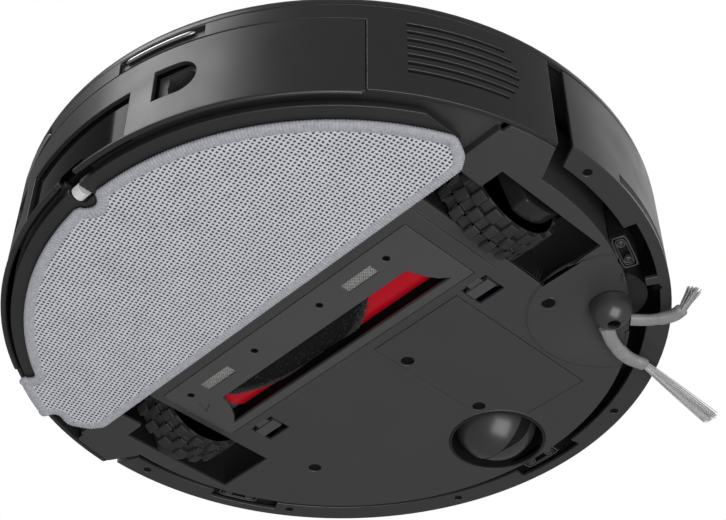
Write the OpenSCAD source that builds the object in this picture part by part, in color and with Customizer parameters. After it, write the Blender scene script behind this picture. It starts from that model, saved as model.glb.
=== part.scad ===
// Robot vacuum with mop: a disc shaped floor cleaner, standing on its wheels at z = 0.
// +Z is up, the front is -Y and the robot's own right hand side is -X. Millimetres.

/* [Body] */
// Outer radius of the round body
body_r = 175; // [174:0.5:176]
// Height of the chassis underside above the floor
under_z = 9.5; // [9:0.1:10]
// Height of the top edge of the side wall
wall_top = 70; // [70:0.1:70.3]
// Thickness of the moulded walls
wall_t = 2.4; // [2:0.1:2.6]
// Height of the flat top deck
deck_z = 78.5; // [78.5:0.1:80]
// Radius of the chassis where the bumper wraps round it
chassis_r = 153.5; // [153:0.1:154]

/* [Drive wheels] */
// Radius over the tread blocks
wheel_r = 34; // [33:0.1:34]
// Width of each drive wheel
wheel_w = 22; // [20:0.5:22]
// Distance from the centre line to the middle of each drive wheel
wheel_x = 118; // [117.5:0.5:118]
// Position of the drive axle along the body
wheel_y = 5; // [4:0.5:6]
// Tread blocks round each of the three rows
tread_count = 18; // [12:1:20]

/* [Caster] */
// Radius of the ball caster
caster_r = 24; // [23:0.5:24]
// Position of the caster along the body
caster_y = -125; // [-125.5:0.1:-124.5]
// Angle of the caster wheel's axle, seen from above
caster_yaw = 85; // [0:5:90]

/* [Main brush] */
// Radius of the rubber roller
roller_r = 15.5; // [15:0.1:15.5]
// Height of the roller axis above the floor
roller_z = 26; // [26:0.1:26.2]
// Position of the roller axis along the body
roller_y = 8; // [7.8:0.1:8.2]

/* [Side brush] */
// Side brush axis, left to right
side_brush_x = -116; // [-117:0.5:-115]
// Side brush axis, along the body
side_brush_y = -85; // [-86:0.5:-84]

/* [Bumper] */
// Inner radius of the bumper's underside
bumper_in_r = 162.5; // [162:0.1:163]
// Height of the bumper's lower edge
bumper_z = 14.5; // [14:0.1:15]

/* [Mop] */
// Radius of the pad's round edge
pad_r = 162.5; // [161:0.5:163]
// Position of the pad's straight edge
pad_y = 50; // [49.5:0.5:51]

/* [Lidar turret] */
// Radius of the turret
turret_r = 48; // [46:0.5:48]
// Position of the turret along the body
turret_y = 45; // [44:0.5:46]
// Height of the turret's flat cap
total_h = 97; // [97:0.5:99]

/* [Hidden] */
$fn = 96;
gap = 0.3;                          // clearance between separate parts
run = 0.05;                         // radial clearance of a running fit
in_r = body_r - wall_t;             // inner face of the side wall
plate_t = 2.4;
plate_top = under_z + plate_t;
raised_z = 14.6;                    // chassis underside above the mop
raised_y = 48.5;                    // front edge of that raised part
end_out = [173.2, 25];              // outer corner where the rear body ends
end_in = [154, 13.5];               // inner corner of the same notch
module_a = 39.3;                    // angle where the rear module's panel starts
module_top = 59.5;
pivot = [46, 40];                   // y and z of the wheel arm's pivot
droop_cut = 28;                     // the arm is trimmed to clear the chassis to this angle
well_in = 105;
well_out = 143.4;
well_front = -42;
pin_r = 3;
screw_r = 3.6;
chassis_screw_at = [[-97.4, -56.5], [92.2, -68.2], [-14.9, -37.1], [-14.5, -93.8]];
cover_screw_at = [-65, -16.4, 34.2, 87.4];
bumper_screw_a = [21, 57, 89];
cliff_a = [-159, -91.5, -21];
cover_y = [-10, 39];
chamber_x = [-84, 92];
grille_x = [[-55.6, -34], [54, 77]];
grille_y = [24.3, 30.8];
latch_x = [73, 90];
latch_y = [-31, -17];
battery_x = [-69.3, -9.2];
battery_y = [-118, -17.5];
port_a = [17.3, 25.8];
port_z = [25.5, 46];
window_a = 12.7;
window_z = [10, 40];
bin_x = [-84, 126];
bin_y = 62;
bin_r = 168.5;
bin_z = [17.6, 56];
blower_at = [-118, 81];
button_x = [14, -14];
button_y = -62;
spring_x = [-45, 45];
spring_z = 40;

// ---- shapes that repeat ----

// Ring segment between two angles and two heights
module arc_wall(ro, ri, a0, a1, z0, z1, fn = 240)
    rotate([0, 0, a0])
        rotate_extrude(angle = a1 - a0, $fn = fn)
            translate([ri, z0])
                square([ro - ri, z1 - z0]);

// Flat wedge that runs well past the body, from angle a0 to a1 (less than 180 apart)
module wedge(a0, a1, reach = 400)
    polygon([[0, 0], reach * [cos(a0), sin(a0)], reach * [cos((2 * a0 + a1) / 3), sin((2 * a0 + a1) / 3)],
        reach * [cos((a0 + 2 * a1) / 3), sin((a0 + 2 * a1) / 3)], reach * [cos(a1), sin(a1)]]);

module box(x, y, z)
    translate([x[0], y[0], z[0]])
        cube([x[1] - x[0], y[1] - y[0], z[1] - z[0]]);

module disc(r, z0, z1, fn = 96)
    translate([0, 0, z0])
        cylinder(r = r, h = z1 - z0, $fn = fn);

// Cylinder along X between two x values, centred on (y, z)
module rod_x(r, x0, x1, y, z, fn = 64)
    translate([x0, y, z])
        rotate([0, 90, 0])
            cylinder(r = r, h = x1 - x0, $fn = fn);

// Both hands of a shape drawn on the robot's left
module both_sides() {
    children();
    mirror([1, 0, 0])
        children();
}

// Coil spring along +Z: a round wire swept along a helix
module coil(r, wire_r, turns, h, sides = 6, per_turn = 14) {
    n = turns * per_turn;
    points = [for (i = [0:n]) for (j = [0:sides - 1])
        let (a = 360 * i / per_turn, b = 360 * j / sides, q = r + wire_r * cos(b))
        [q * cos(a), q * sin(a), h * i / n + wire_r * sin(b)]];
    skin = [for (i = [0:n - 1]) for (j = [0:sides - 1])
        let (k = (j + 1) % sides)
        [i * sides + j, i * sides + k, (i + 1) * sides + k, (i + 1) * sides + j]];
    start = [[for (j = [sides - 1:-1:0]) j]];
    finish = [[for (j = [0:sides - 1]) n * sides + j]];
    polyhedron(points, concat(skin, start, finish));
}

// Outline of the rear body, ending at the slanted notch that takes the bumper's ends
module rear_outline(r)
    intersection() {
        circle(r = r, $fn = 240);
        slant = (end_out[1] - end_in[1]) / (end_out[0] - end_in[0]);
        polygon([[-400, end_in[1] + slant * (400 - end_in[0])], [-end_in[0], end_in[1]], [end_in[0], end_in[1]],
            [400, end_in[1] + slant * (400 - end_in[0])], [400, 600], [-400, 600]]);
    }

// ---- chassis ----

// Side view of the wheel well's inside, drawn in (y, z)
module well_profile(grow = 0) {
    translate([wheel_y, wheel_r])
        circle(r = wheel_r + 4.5 + grow);
    translate([-12, 14])
        circle(r = 30 + grow);
    translate([24 - grow, under_z - 6])
        square([24.4 + 2 * grow, 44.5 + grow]);
    translate([36 - grow, 30 - grow])
        square([18.5 + 2 * grow, 20 + 2 * grow]);
}

module well_solid(x0, x1, grow)
    intersection() {
        translate([x0, 0, 0])
            rotate([90, 0, 90])
                linear_extrude(x1 - x0)
                    well_profile(grow);
        union() {
            box([x0, x1], [-80, raised_y - 0.05], [plate_top, 90]);
            box([x0, x1], [-80, 80], [raised_z + plate_t + 0.05, 90]);
        }
    }

module scoop_ball(grow) {
    depth = 8;
    rim = 44;
    r = (rim * rim + depth * depth) / (2 * depth);
    translate([side_brush_x, side_brush_y, under_z + depth - r])
        sphere(r = r + grow, $fn = 180);
}

// Plan of the flat underside: everything in front of the mop, less the openings
module plate_plan()
    difference() {
        union() {
            rear_outline(in_r - gap);
            circle(r = chassis_r, $fn = 240);
        }
        translate([-200, raised_y])
            square([400, 200]);
        both_sides() {
            translate([well_in, well_front])
                square([well_out - well_in, 30 - well_front]);
            translate([well_in, 0])
                square([130 - well_in, 60]);
            translate([latch_x[0], latch_y[0]])
                square([latch_x[1] - latch_x[0], latch_y[1] - latch_y[0]]);
            translate([latch_x[0] + 4, latch_y[1] - 1])
                square([latch_x[1] - latch_x[0] - 8, 8]);
        }
        difference() {
            translate([battery_x[0], battery_y[0]])
                square([battery_x[1] - battery_x[0], battery_y[1] - battery_y[0]]);
            translate([0, caster_y])
                circle(r = 29);
        }
        translate([0, caster_y])
            circle(r = 27.4);
        for (p = [chassis_screw_at[0], chassis_screw_at[1]])
            translate(p)
                circle(r = screw_r, $fn = 32);
        translate([side_brush_x, side_brush_y])
            circle(r = 44);
        translate([-88.6, cover_y[0] - gap])
            square([186.9, cover_y[1] - cover_y[0] + 2 * gap]);
    }

// Shallow dish round the side brush
module scoop()
    difference() {
        intersection() {
            scoop_ball(plate_t);
            translate([side_brush_x, side_brush_y, 0])
                disc(44.4, under_z + 0.05, 30);
            disc(chassis_r - 0.15, under_z, 30, 240);
        }
        scoop_ball(0);
        box([-150, -100], [well_front - 2, 0], [plate_top, 30]);
        translate([side_brush_x, side_brush_y, 0])
            disc(7, 0, 30);
        translate([chassis_screw_at[0][0], chassis_screw_at[0][1], 0])
            disc(screw_r, 0, 20, 32);
    }

module raised_plate() {
    translate([0, 0, raised_z])
        linear_extrude(plate_t)
            difference() {
                intersection() {
                    circle(r = 170.2, $fn = 240);
                    translate([-200, raised_y])
                        square([400, 200]);
                }
                translate([-9, 155])
                    square([18, 20]);
            }
    box([-160, 160], [raised_y, raised_y + 2], [under_z, raised_z + plate_t]);
}

module front_ring()
    translate([0, 0, plate_top])
        linear_extrude(60 - plate_top)
            difference() {
                circle(r = chassis_r, $fn = 240);
                circle(r = chassis_r - 2, $fn = 240);
                translate([-200, end_in[1]])
                    square([400, 200]);
                translate([side_brush_x, side_brush_y])
                    circle(r = 21);
                translate([0, caster_y])
                    circle(r = 27.5);
            }

// Raised rim round the brush cover, with the ledge that the cover rests on
module brush_rim() {
    difference() {
        box([-98, 100], [-15, 47], [8, plate_top]);
        box([-88.6, 98.3], [cover_y[0] - gap, cover_y[1] + gap], [0, 20]);
        both_sides()
            box([latch_x[0] + 4, latch_x[1] - 4], [-18, -9], [9.6, 11.5]);
    }
    difference() {
        box([-90, 99], [-12, 41], [10.7, plate_top]);
        box(chamber_x, [-9, 34], [0, 20]);
        both_sides()
            box([latch_x[0] + 4, latch_x[1] - 4], [-18, -9], [9.6, 11.5]);
    }
}

module base_tray()
    color([0.24, 0.24, 0.24]) {
        translate([0, 0, under_z])
            linear_extrude(plate_t)
                plate_plan();
        raised_plate();
        front_ring();
        scoop();
        brush_rim();
        for (p = [[-4, -28], [52, -28], [52, -88], [6, -92]])
            translate([p[0], p[1], 0])
                disc(3, plate_top - 0.1, 57.8, 32);
    }

module wheel_wells()
    color([0.14, 0.14, 0.14])
        both_sides()
            difference() {
                union() {
                    well_solid(well_in - 2, well_out + 1.6, 1.6);
                    rod_x(7, well_out + 1.5, well_out + 5, pivot[0], pivot[1]);
                }
                well_solid(well_in, well_out, 0);
                rod_x(pin_r, well_out - 1, well_out + 6, pivot[0], pivot[1]);
            }

module brush_housing()
    color([0.1, 0.1, 0.1])
        difference() {
            union() {
                box([chamber_x[0] - 2, chamber_x[1] + 2], [-11, 36], [plate_top, 46]);
                box([-32, 32], [35, bin_y - 0.5], [20, 46]);
            }
            box(chamber_x, [-9, 34], [0, 44]);
            box([-30, 30], [30, bin_y + 1], [22, 44]);
            rod_x(3.2, chamber_x[0] - 3, chamber_x[0] + 1, roller_y, roller_z);
        }

module side_wall()
    color([0.2, 0.2, 0.2])
        difference() {
            translate([0, 0, under_z])
                linear_extrude(wall_top - under_z)
                    difference() {
                        rear_outline(body_r);
                        difference() {
                            circle(r = in_r, $fn = 240);
                            both_sides()
                                polygon([[end_in[0] - 40, end_in[1] - 1], [end_in[0], end_in[1] - 1], [end_in[0], end_in[1]],
                                    end_out + [10, 6], end_out + [10, 9], [end_in[0], end_in[1] + 2.6],
                                    [end_in[0] - 2, end_in[1] + 2.6], [end_in[0] - 2, end_in[1] - 0.2],
                                    [end_in[0] - 40, end_in[1] - 0.2]]);
                        }
                        circle(r = chassis_r + 0.2, $fn = 240);
                    }
            linear_extrude(module_top + gap)
                wedge(module_a - 0.15, 180 - module_a + 0.15);
            for (s = [-1, 1])
                arc_wall(body_r + 1, body_r - 2, 90 + s * 17.4 - 8, 90 + s * 17.4 + 8, 60.8, 68.8);
            translate([0, 0, under_z - 1])
                linear_extrude(plate_t + 1.05)
                    rear_outline(in_r - 0.1);
            for (i = [0:6])
                arc_wall(body_r + 1, in_r - 1, 147, 163.3 + 2.2 * sin(180 * i / 6), 24.5 + 5.58 * i, 26.7 + 5.58 * i);
        }

module top_cover()
    color([0.2, 0.2, 0.2])
        difference() {
            rotate_extrude($fn = 240)
                polygon(concat([[0, deck_z - 2.4], [body_r - 6, deck_z - 2.4], [body_r - 2.6, deck_z - 5.5],
                    [body_r - 2.6, wall_top + gap], [body_r - 0.2, wall_top + gap], [body_r - 0.2, deck_z - 6]],
                    [for (a = [15:15:90]) [body_r - 6.2 + 6 * cos(a), deck_z - 6 + 6 * sin(a)]], [[0, deck_z]]));
            translate([0, turret_y, 0])
                disc(turret_r + gap, 60, 90);
            for (x = button_x)
                translate([x, button_y, 0])
                    disc(9, 60, 90);
        }

module charge_contacts()
    color([0.85, 0.85, 0.85])
        for (s = [-1, 1])
            arc_wall(body_r + 0.3, body_r - 1.9, 90 + s * 17 - 7.2, 90 + s * 17 + 7.2, 65, 68.6);

module battery_cover()
    color([0.24, 0.24, 0.24])
        difference() {
            box(battery_x + [gap, -gap], battery_y + [gap, -gap], [under_z, plate_top]);
            translate([0, caster_y, 0])
                disc(29.3, 0, 80);
            for (p = [chassis_screw_at[2], chassis_screw_at[3]])
                translate([p[0], p[1], 0])
                    disc(screw_r, 0, 20, 32);
        }

module battery_pack()
    color([0.1, 0.25, 0.5])
        difference() {
            box([-67, -20], [-112, -38], [plate_top + 0.6, 34]);
            translate([0, caster_y, 0])
                disc(31, 0, 80);
        }

module main_board()
    color([0.1, 0.4, 0.2])
        box([-58, 58], [-94, -24], [57.8, 59.6]);

// ---- fan, brush drive ----

module blower_housing()
    color([0.15, 0.15, 0.15])
        translate([blower_at[0], blower_at[1], 0])
            difference() {
                disc(23.5, 18, 60);
                disc(21.5, 20, 58);
                disc(9, 55, 61);
                disc(2.5 + run, 17, 21);
            }

module blower_impeller()
    color([0.6, 0.6, 0.62])
        translate([blower_at[0], blower_at[1], 0]) {
            disc(19.5, 22, 24);
            disc(6, 22, 46);
            disc(2.5, 18.2, 23);
            for (a = [0:30:330])
                rotate([0, 0, a])
                    translate([5, -0.6, 23])
                        cube([13.5, 1.2, 16]);
        }

module brush_motor()
    color([0.15, 0.15, 0.15]) {
        box([-101.5, -86.3], [-30, 20], [plate_top + 0.6, 58]);
        rod_x(11, -87, -46, -22.5, 44);
    }

module side_brush_motor()
    color([0.13, 0.13, 0.13])
        translate([side_brush_x, side_brush_y, 0])
            difference() {
                union() {
                    disc(19.5, 20.4, 44);
                    translate([-12, -12, 40])
                        cube([40, 24, 14]);
                }
                disc(3 + run, 20, 38);
            }

// ---- drive wheels, drawn for the robot's left and mirrored for its right ----

module side(right)
    mirror([right ? 1 : 0, 0, 0])
        children();

module arm_pins()
    color([0.75, 0.75, 0.75])
        both_sides()
            rod_x(pin_r, 131, well_out + 5, pivot[0], pivot[1]);

module wheel_arm()
    color([0.17, 0.17, 0.17])
        difference() {
            union() {
                intersection() {
                    rod_x(27, 130.6, 141, wheel_y, wheel_r);
                    translate([120, pivot[0], pivot[1]])
                        rotate([-droop_cut, 0, 0])
                            translate([0, -96.7, -80])
                                cube([40, 80, 160]);
                }
                translate([132.5, 0, 0])
                    rotate([90, 0, 90])
                        linear_extrude(5)
                            polygon([[pivot[0] + 2, pivot[1] + 6.2], [wheel_y, wheel_r + 20], [wheel_y, wheel_r - 2],
                                [pivot[0] - 2, pivot[1] - 6.2]]);
                rod_x(6.5, 132.5, 137.5, pivot[0], pivot[1]);
                rod_x(4, wheel_x - wheel_w / 2 + 1, 131, wheel_y, wheel_r);
            }
            rod_x(pin_r + run, 130, 143, pivot[0], pivot[1]);
        }

module wheel_hub()
    color([0.2, 0.2, 0.2])
        difference() {
            rod_x(wheel_r - 4, wheel_x - wheel_w / 2, wheel_x + wheel_w / 2, wheel_y, wheel_r);
            rod_x(4 + run, wheel_x - wheel_w / 2 - 1, wheel_x + wheel_w / 2 + 1, wheel_y, wheel_r);
            for (s = [-1, 1])
                difference() {
                    rod_x(26.5, wheel_x + s * wheel_w / 2 - 1.5, wheel_x + s * wheel_w / 2 + 1.5, wheel_y, wheel_r);
                    rod_x(9, wheel_x + s * wheel_w / 2 - 2, wheel_x + s * wheel_w / 2 + 2, wheel_y, wheel_r);
                }
        }

// One row of tread blocks as a flat gear shape
module tread_row(turn) {
    difference() {
        union() {
            circle(r = wheel_r - 2.6);
            intersection() {
                circle(r = wheel_r);
                union()
                    for (i = [0:tread_count - 1])
                        rotate([0, 0, turn + 360 * i / tread_count])
                            translate([0, -3.1])
                                square([wheel_r + 2, 6.2]);
            }
        }
        circle(r = wheel_r - 4);
    }
}

module tyre()
    color([0.16, 0.16, 0.16])
        translate([wheel_x - wheel_w / 2, wheel_y, wheel_r])
            rotate([90, 0, 90])
                for (row = [0:2])
                    translate([0, 0, row * wheel_w / 3])
                        linear_extrude(wheel_w / 3)
                            tread_row(90 + row % 2 * 180 / tread_count);

module arm_springs()
    color([0.7, 0.7, 0.72])
        both_sides()
            translate([138.3, pivot[0], pivot[1]])
                rotate([0, 90, 0])
                    coil(r = 5, wire_r = 0.5, turns = 4, h = 4.4);

module left_wheel_arm() side(false) wheel_arm();
module right_wheel_arm() side(true) wheel_arm();
module left_wheel_hub() side(false) wheel_hub();
module right_wheel_hub() side(true) wheel_hub();
module left_tyre() side(false) tyre();
module right_tyre() side(true) tyre();

// ---- caster ----

module at_caster()
    translate([0, caster_y, 0])
        rotate([0, 0, caster_yaw])
            children();

module caster_socket()
    color([0.08, 0.08, 0.08])
        translate([0, caster_y, 0])
            difference() {
                union() {
                    disc(27.3, under_z, 58);
                    disc(8, 57, 68);
                }
                disc(26, 0, 55.5);
                disc(4 + run, 50, 66);
            }

module caster_swivel()
    color([0.3, 0.3, 0.3])
        at_caster()
            difference() {
                union() {
                    intersection() {
                        translate([0, 0, caster_r + 0.8])
                            sphere(r = caster_r - 0.2);
                        box([-40, -3.5], [-40, 40], [-5, 60]);
                    }
                    intersection() {
                        disc(20, 30, 53.5);
                        box([-40, -3.5], [-40, 40], [30, 60]);
                    }
                    disc(20, 50, 53.5);
                    disc(4, 52, 65.5);
                }
                rod_x(2.5, -12, -3, 0, caster_r);
            }

module caster_wheel()
    color([0.22, 0.22, 0.22])
        at_caster()
            difference() {
                translate([0, 0, caster_r])
                    rotate([0, 90, 0])
                        rotate_extrude()
                            intersection() {
                                circle(r = caster_r);
                                translate([0, -3])
                                    square([30, 33]);
                            }
                rod_x(2.5 + run, -4, 13, 0, caster_r);
            }

module caster_axle()
    color([0.75, 0.75, 0.75])
        at_caster()
            rod_x(2.5, -12, 12.5, 0, caster_r);

// ---- side brush ----

module at_side_brush()
    translate([side_brush_x, side_brush_y, 0])
        children();

module side_brush_hub()
    color([0.25, 0.25, 0.25])
        at_side_brush()
            difference() {
                union() {
                    intersection() {
                        translate([0, 0, 12])
                            sphere(r = 11);
                        disc(20, 1.5, 12);
                    }
                    disc(11, 11.9, 14.5);
                    disc(5.5, 14, 19);
                    disc(3, 18, 37);
                }
                disc(3.4, 0, 4.5, 32);
            }

module side_brush_screw()
    color([0.5, 0.5, 0.5])
        at_side_brush()
            difference() {
                disc(3.2, 3.2, 4.5, 32);
                box([-2, 2], [-0.4, 0.4], [2.5, 3.7]);
                box([-0.4, 0.4], [-2, 2], [2.5, 3.7]);
            }

module bead(p, r)
    translate(p)
        sphere(r = r, $fn = 16);

module side_brush_arms()
    color([0.55, 0.55, 0.55])
        difference() {
            union() {
                hull() {
                    bead([-121, -94, 6], 3.4);
                    bead([-135, -106, 5.6], 3.2);
                }
                hull() {
                    bead([-135, -106, 5.6], 3.2);
                    bead([-145, -101, 5], 3);
                }
                hull() {
                    bead([-114, -94, 6], 3.4);
                    bead([-111, -110, 5.6], 3.2);
                }
                hull() {
                    bead([-111, -110, 5.6], 3.2);
                    bead([-107, -126, 5], 3);
                }
            }
            at_side_brush()
                disc(10.9, 0, 30);
        }

module side_brush_tufts()
    color([0.7, 0.7, 0.7]) {
        hull() {
            bead([-149.2, -98.9, 4.8], 1.2);
            bead([-160, -93.5, 3.2], 2.8);
        }
        hull() {
            bead([-106.6, -130.6, 5], 1.2);
            bead([-102, -190, 4], 3.5);
        }
    }

// ---- main brush ----

module brush_roller()
    color([0.55, 0.02, 0.08])
        union() {
            rod_x(roller_r, -68, 80, roller_y, roller_z);
            rod_x(3, -86, 90, roller_y, roller_z);
        }

// Rows of bristles that meet in a V at the middle of the roller
module brush_bristles()
    color([0.06, 0.06, 0.06])
        for (turn = [0:60:300])
            for (i = [0:9])
                translate([-62 + 13.6 * i, roller_y, roller_z])
                    rotate([turn + 9 * abs(i - 4.5), 0, 0])
                        rotate([0, 90, 0])
                            rotate_extrude(angle = 9, $fn = 48)
                                translate([roller_r, 0])
                                    square([0.8, 13.2]);

module brush_end_caps()
    color([0.12, 0.12, 0.12])
        for (x = [[-83.9, -69], [81, 91.9]])
            difference() {
                union() {
                    rod_x(14, x[0], x[1], roller_y, roller_z);
                    box(x, [roller_y - 6, roller_y + 6], [roller_z, 43.9]);
                }
                rod_x(3 + run, x[0] - 1, x[1] + 1, roller_y, roller_z);
            }

module brush_mouth()
    polygon([[-78, -4.6], [90, -4.6], [85, -0.5], [81, 5], [78.2, 10.5], [77, 15], [-66, 15], [-67.2, 10.5],
        [-69.5, 5], [-73, -0.5]]);

module brush_cover()
    color([0.3, 0.3, 0.3])
        difference() {
            box([-88.3, 98], cover_y, [8, 10.4]);
            linear_extrude(20)
                brush_mouth();
            for (x = cover_screw_at)
                translate([x, 28.6, 0])
                    disc(2, 0, 20, 32);
            for (x = grille_x)
                box(x, grille_y, [0, 20]);
            translate([0, 0, 7])
                linear_extrude(2)
                    polygon([[90, 21], [93, 13], [86.5, 16]]);
        }

module cover_grilles()
    color([0.55, 0.55, 0.52])
        for (x = grille_x)
            box(x, grille_y, [9, 9.8]);

module cover_screws()
    color([0.35, 0.35, 0.35])
        for (x = cover_screw_at)
            translate([x, 28.6, 0])
                difference() {
                    disc(2, 8.6, 10.4, 32);
                    box([-1.3, 1.3], [-0.3, 0.3], [8, 9.1]);
                    box([-0.3, 0.3], [-1.3, 1.3], [8, 9.1]);
                }

module cover_latch()
    color([0.35, 0.35, 0.35]) {
        box([latch_x[0] + 1, latch_x[1] - 1], [-26, -19.4], [9, plate_top]);
        box([latch_x[0] + 4.3, latch_x[1] - 4.3], [-19.5, cover_y[0] - 0.6], [9.9, 11.2]);
    }

module left_cover_latch() side(false) cover_latch();
module right_cover_latch() side(true) cover_latch();

// ---- bumper ----

module bumper_arc(ro, ri)
    difference() {
        circle(r = ro, $fn = 240);
        circle(r = ri, $fn = 240);
        polygon([[-400, 122.9], [-174.35, 15], [-163.5, 9], [-140, -4], [140, -4], [163.5, 9], [174.35, 15],
            [400, 122.9], [400, 400], [-400, 400]]);
    }

module bumper_shell()
    color([0.3, 0.3, 0.3])
        difference() {
            union() {
                translate([0, 0, bumper_z])
                    linear_extrude(wall_top - 0.5 - bumper_z)
                        bumper_arc(body_r, in_r);
                translate([0, 0, bumper_z])
                    linear_extrude(2.4)
                        bumper_arc(body_r - 1, bumper_in_r);
                for (x = spring_x)
                    translate([x, -sqrt(in_r * in_r - x * x) + 3.5, spring_z])
                        rotate([90, 0, 0])
                            cylinder(r = 2.2, h = 5, $fn = 32);
            }
            for (c = [[-164, -150], [-148, -138], [-99, -84], [-30, -16]])
                arc_wall(169, 160, c[0], c[1], 0, 20);
            for (s = [-1, 1])
                for (a = bumper_screw_a)
                    rotate([0, 0, -90 + s * a])
                        translate([168, 0, 0])
                            disc(2.2, 0, 20, 32);
            arc_wall(body_r + 1, body_r - 1, -173, -7, 17.6, 22.4);
        }

module bumper_strip()
    color([0.1, 0.1, 0.1])
        arc_wall(body_r - 0.2, body_r - 1, -172.8, -7.2, 17.8, 22.2);

module bumper_screws()
    color([0.2, 0.2, 0.2])
        for (s = [-1, 1])
            for (a = bumper_screw_a)
                rotate([0, 0, -90 + s * a])
                    translate([168, 0, 0])
                        disc(2.2, bumper_z + 0.8, bumper_z + 2.4, 32);

module bumper_springs()
    color([0.7, 0.7, 0.72])
        for (x = spring_x)
            translate([x, -sqrt(chassis_r * chassis_r - x * x) - 2, spring_z])
                rotate([90, 0, 0])
                    coil(r = 3.2, wire_r = 0.5, turns = 6, h = 14);

// ---- rear module: dust bin and water tank that slide out together ----

module bin_outline(inset)
    intersection() {
        circle(r = bin_r - inset, $fn = 240);
        translate([bin_x[0] + inset, bin_y + inset])
            square([bin_x[1] - bin_x[0] - 2 * inset, 150]);
    }

module rear_panel()
    color([0.22, 0.22, 0.22])
        difference() {
            union() {
                arc_wall(body_r, in_r, module_a, 180 - module_a, 8, module_top);
                for (rib = [[42.6, 45], [116.6, 118.8]])
                    arc_wall(in_r + 0.1, bin_r + 0.05, rib[0], rib[1], bin_z[0] + 1, bin_z[1] - 1);
            }
            for (s = [-1, 1])
                rotate([0, 0, 90 + s * port_a[0]])
                    mirror([0, s > 0 ? 0 : 1, 0])
                        translate([171, 0, port_z[0]]) {
                            cube([10, 12.5, port_z[1] - port_z[0]]);
                            translate([0, 12.5, (port_z[1] - port_z[0]) / 2])
                                rotate([0, 90, 0])
                                    cylinder(r = (port_z[1] - port_z[0]) / 2, h = 10, $fn = 96);
                        }
            arc_wall(body_r + 1, in_r - 0.1, 90 - window_a, 90 + window_a, window_z[0], window_z[1]);
            box([-5.5, 5.5], [160, 178], [0, 13]);
        }

module bin_body()
    color([0.28, 0.28, 0.28])
        difference() {
            translate([0, 0, bin_z[0]])
                linear_extrude(bin_z[1] - bin_z[0])
                    bin_outline(0);
            difference() {
                translate([0, 0, bin_z[0] + 2])
                    linear_extrude(60)
                        bin_outline(2);
                box([36, 38], [60, 180], [bin_z[0], bin_z[1]]);
            }
            box([-30, 30], [bin_y - 1, bin_y + 3], [22, 44]);
            for (s = [-1, 1])
                rotate([0, 0, 90 + s * port_a[0]])
                    translate([150, s > 0 ? 0 : -22.7, port_z[0]])
                        cube([30, 22.7, port_z[1] - port_z[0]]);
        }

module module_cover()
    color([0.25, 0.25, 0.25])
        difference() {
            translate([0, 0, bin_z[1]])
                linear_extrude(2)
                    bin_outline(0);
            translate([85, 90, 0])
                disc(8, 0, 90);
        }

module water_plug()
    color([0.1, 0.1, 0.1])
        translate([85, 90, 0]) {
            disc(8, bin_z[1] - 2, bin_z[1] + 2);
            disc(9.5, bin_z[1] + 2, bin_z[1] + 3);
        }

module bin_filter()
    color([0.9, 0.9, 0.88])
        box([-78, -34], [bin_y + 4, bin_y + 14], [21, 54]);

// D shaped rubber lining of the two dust ports
module port_seals()
    color([0.35, 0.35, 0.35])
        for (s = [-1, 1])
            rotate([0, 0, 90 + s * port_a[0]])
                mirror([0, s > 0 ? 0 : 1, 0])
                    translate([0, 0.1, 0])
                        difference() {
                            box([162, 170.5], [0, 22.5], [port_z[0] + 0.1, port_z[1] - 0.1]);
                            translate([150, 13, (port_z[0] + port_z[1]) / 2])
                                rotate([0, 90, 0])
                                    cylinder(r = 8, h = 40, $fn = 64);
                            box([150, 190], [5.5, 13], [port_z[0] + 2.25, port_z[1] - 2.25]);
                        }

module sensor_window()
    color([0.03, 0.03, 0.03])
        difference() {
            arc_wall(in_r, in_r - 1.5, 90 - window_a - 0.8, 90 + window_a + 0.8, 8.8, 41);
            box([-9, 9], [160, 173], [0, 17]);
        }

// ---- mop ----

module mop_bracket()
    color([0.18, 0.18, 0.18])
        translate([0, 0, 4.3])
            difference() {
                linear_extrude(3.7)
                    intersection() {
                        circle(r = 169.5, $fn = 240);
                        translate([-147, pad_y + 4])
                            square([294, 200]);
                        both_sides()
                            polygon([[0, 0], [0, 200], [300, 200], [300, 110], [146, 62], [138, pad_y + 4], [138, 0]]);
                    }
                box([-4.2, 4.2], [160, 175], [-1, 5]);
                rod_x(1.05, -8, 8, 165, 2.2, 32);
            }

module mop_pad()
    color([0.8, 0.8, 0.83])
        translate([0, 0, 0.3])
            linear_extrude(3.7)
                union() {
                    difference() {
                        intersection() {
                            circle(r = pad_r, $fn = 240);
                            both_sides()
                                polygon([[-1, 0], [-1, 200], [300, 200], [300, 84], [149, 73], [147.5, 64], [143, 55],
                                    [136, pad_y], [136, 0]]);
                            translate([-160, pad_y])
                                square([320, 200]);
                        }
                        translate([0, pad_r + 1])
                            circle(r = 6.8, $fn = 64);
                    }
                    intersection() {
                        circle(r = 172, $fn = 240);
                        wedge(28, 39);
                        difference() {
                            circle(r = 180);
                            circle(r = 150);
                        }
                    }
                }

module guide_roller()
    color([0.92, 0.92, 0.92])
        difference() {
            rod_x(3.7, -2.7, 2.7, 165, 6.5);
            rod_x(1 + run, -3, 3, 165, 6.5, 32);
        }

module roller_axle()
    color([0.8, 0.8, 0.8])
        rod_x(1, -7.5, 7.5, 165, 6.5, 32);

// ---- sensors and screws ----

module cliff_trays()
    color([0.1, 0.1, 0.1])
        for (a = cliff_a)
            rotate([0, 0, a])
                difference() {
                    translate([chassis_r + 0.2, -12, 13])
                        cube([8, 24, 20]);
                    translate([chassis_r + 1.2, -11, 12])
                        cube([6, 22, 5]);
                }

module cliff_lenses()
    color([0.25, 0.2, 0.25])
        for (a = cliff_a)
            rotate([0, 0, a])
                for (y = [-7, 7])
                    translate([chassis_r + 4.2, y, 0])
                        disc(2.6, 14.6, 17, 32);

module chassis_screws()
    color([0.2, 0.2, 0.2])
        for (p = chassis_screw_at)
            translate([p[0], p[1], 0])
                disc(screw_r, under_z + 1, plate_top, 32);

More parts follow.
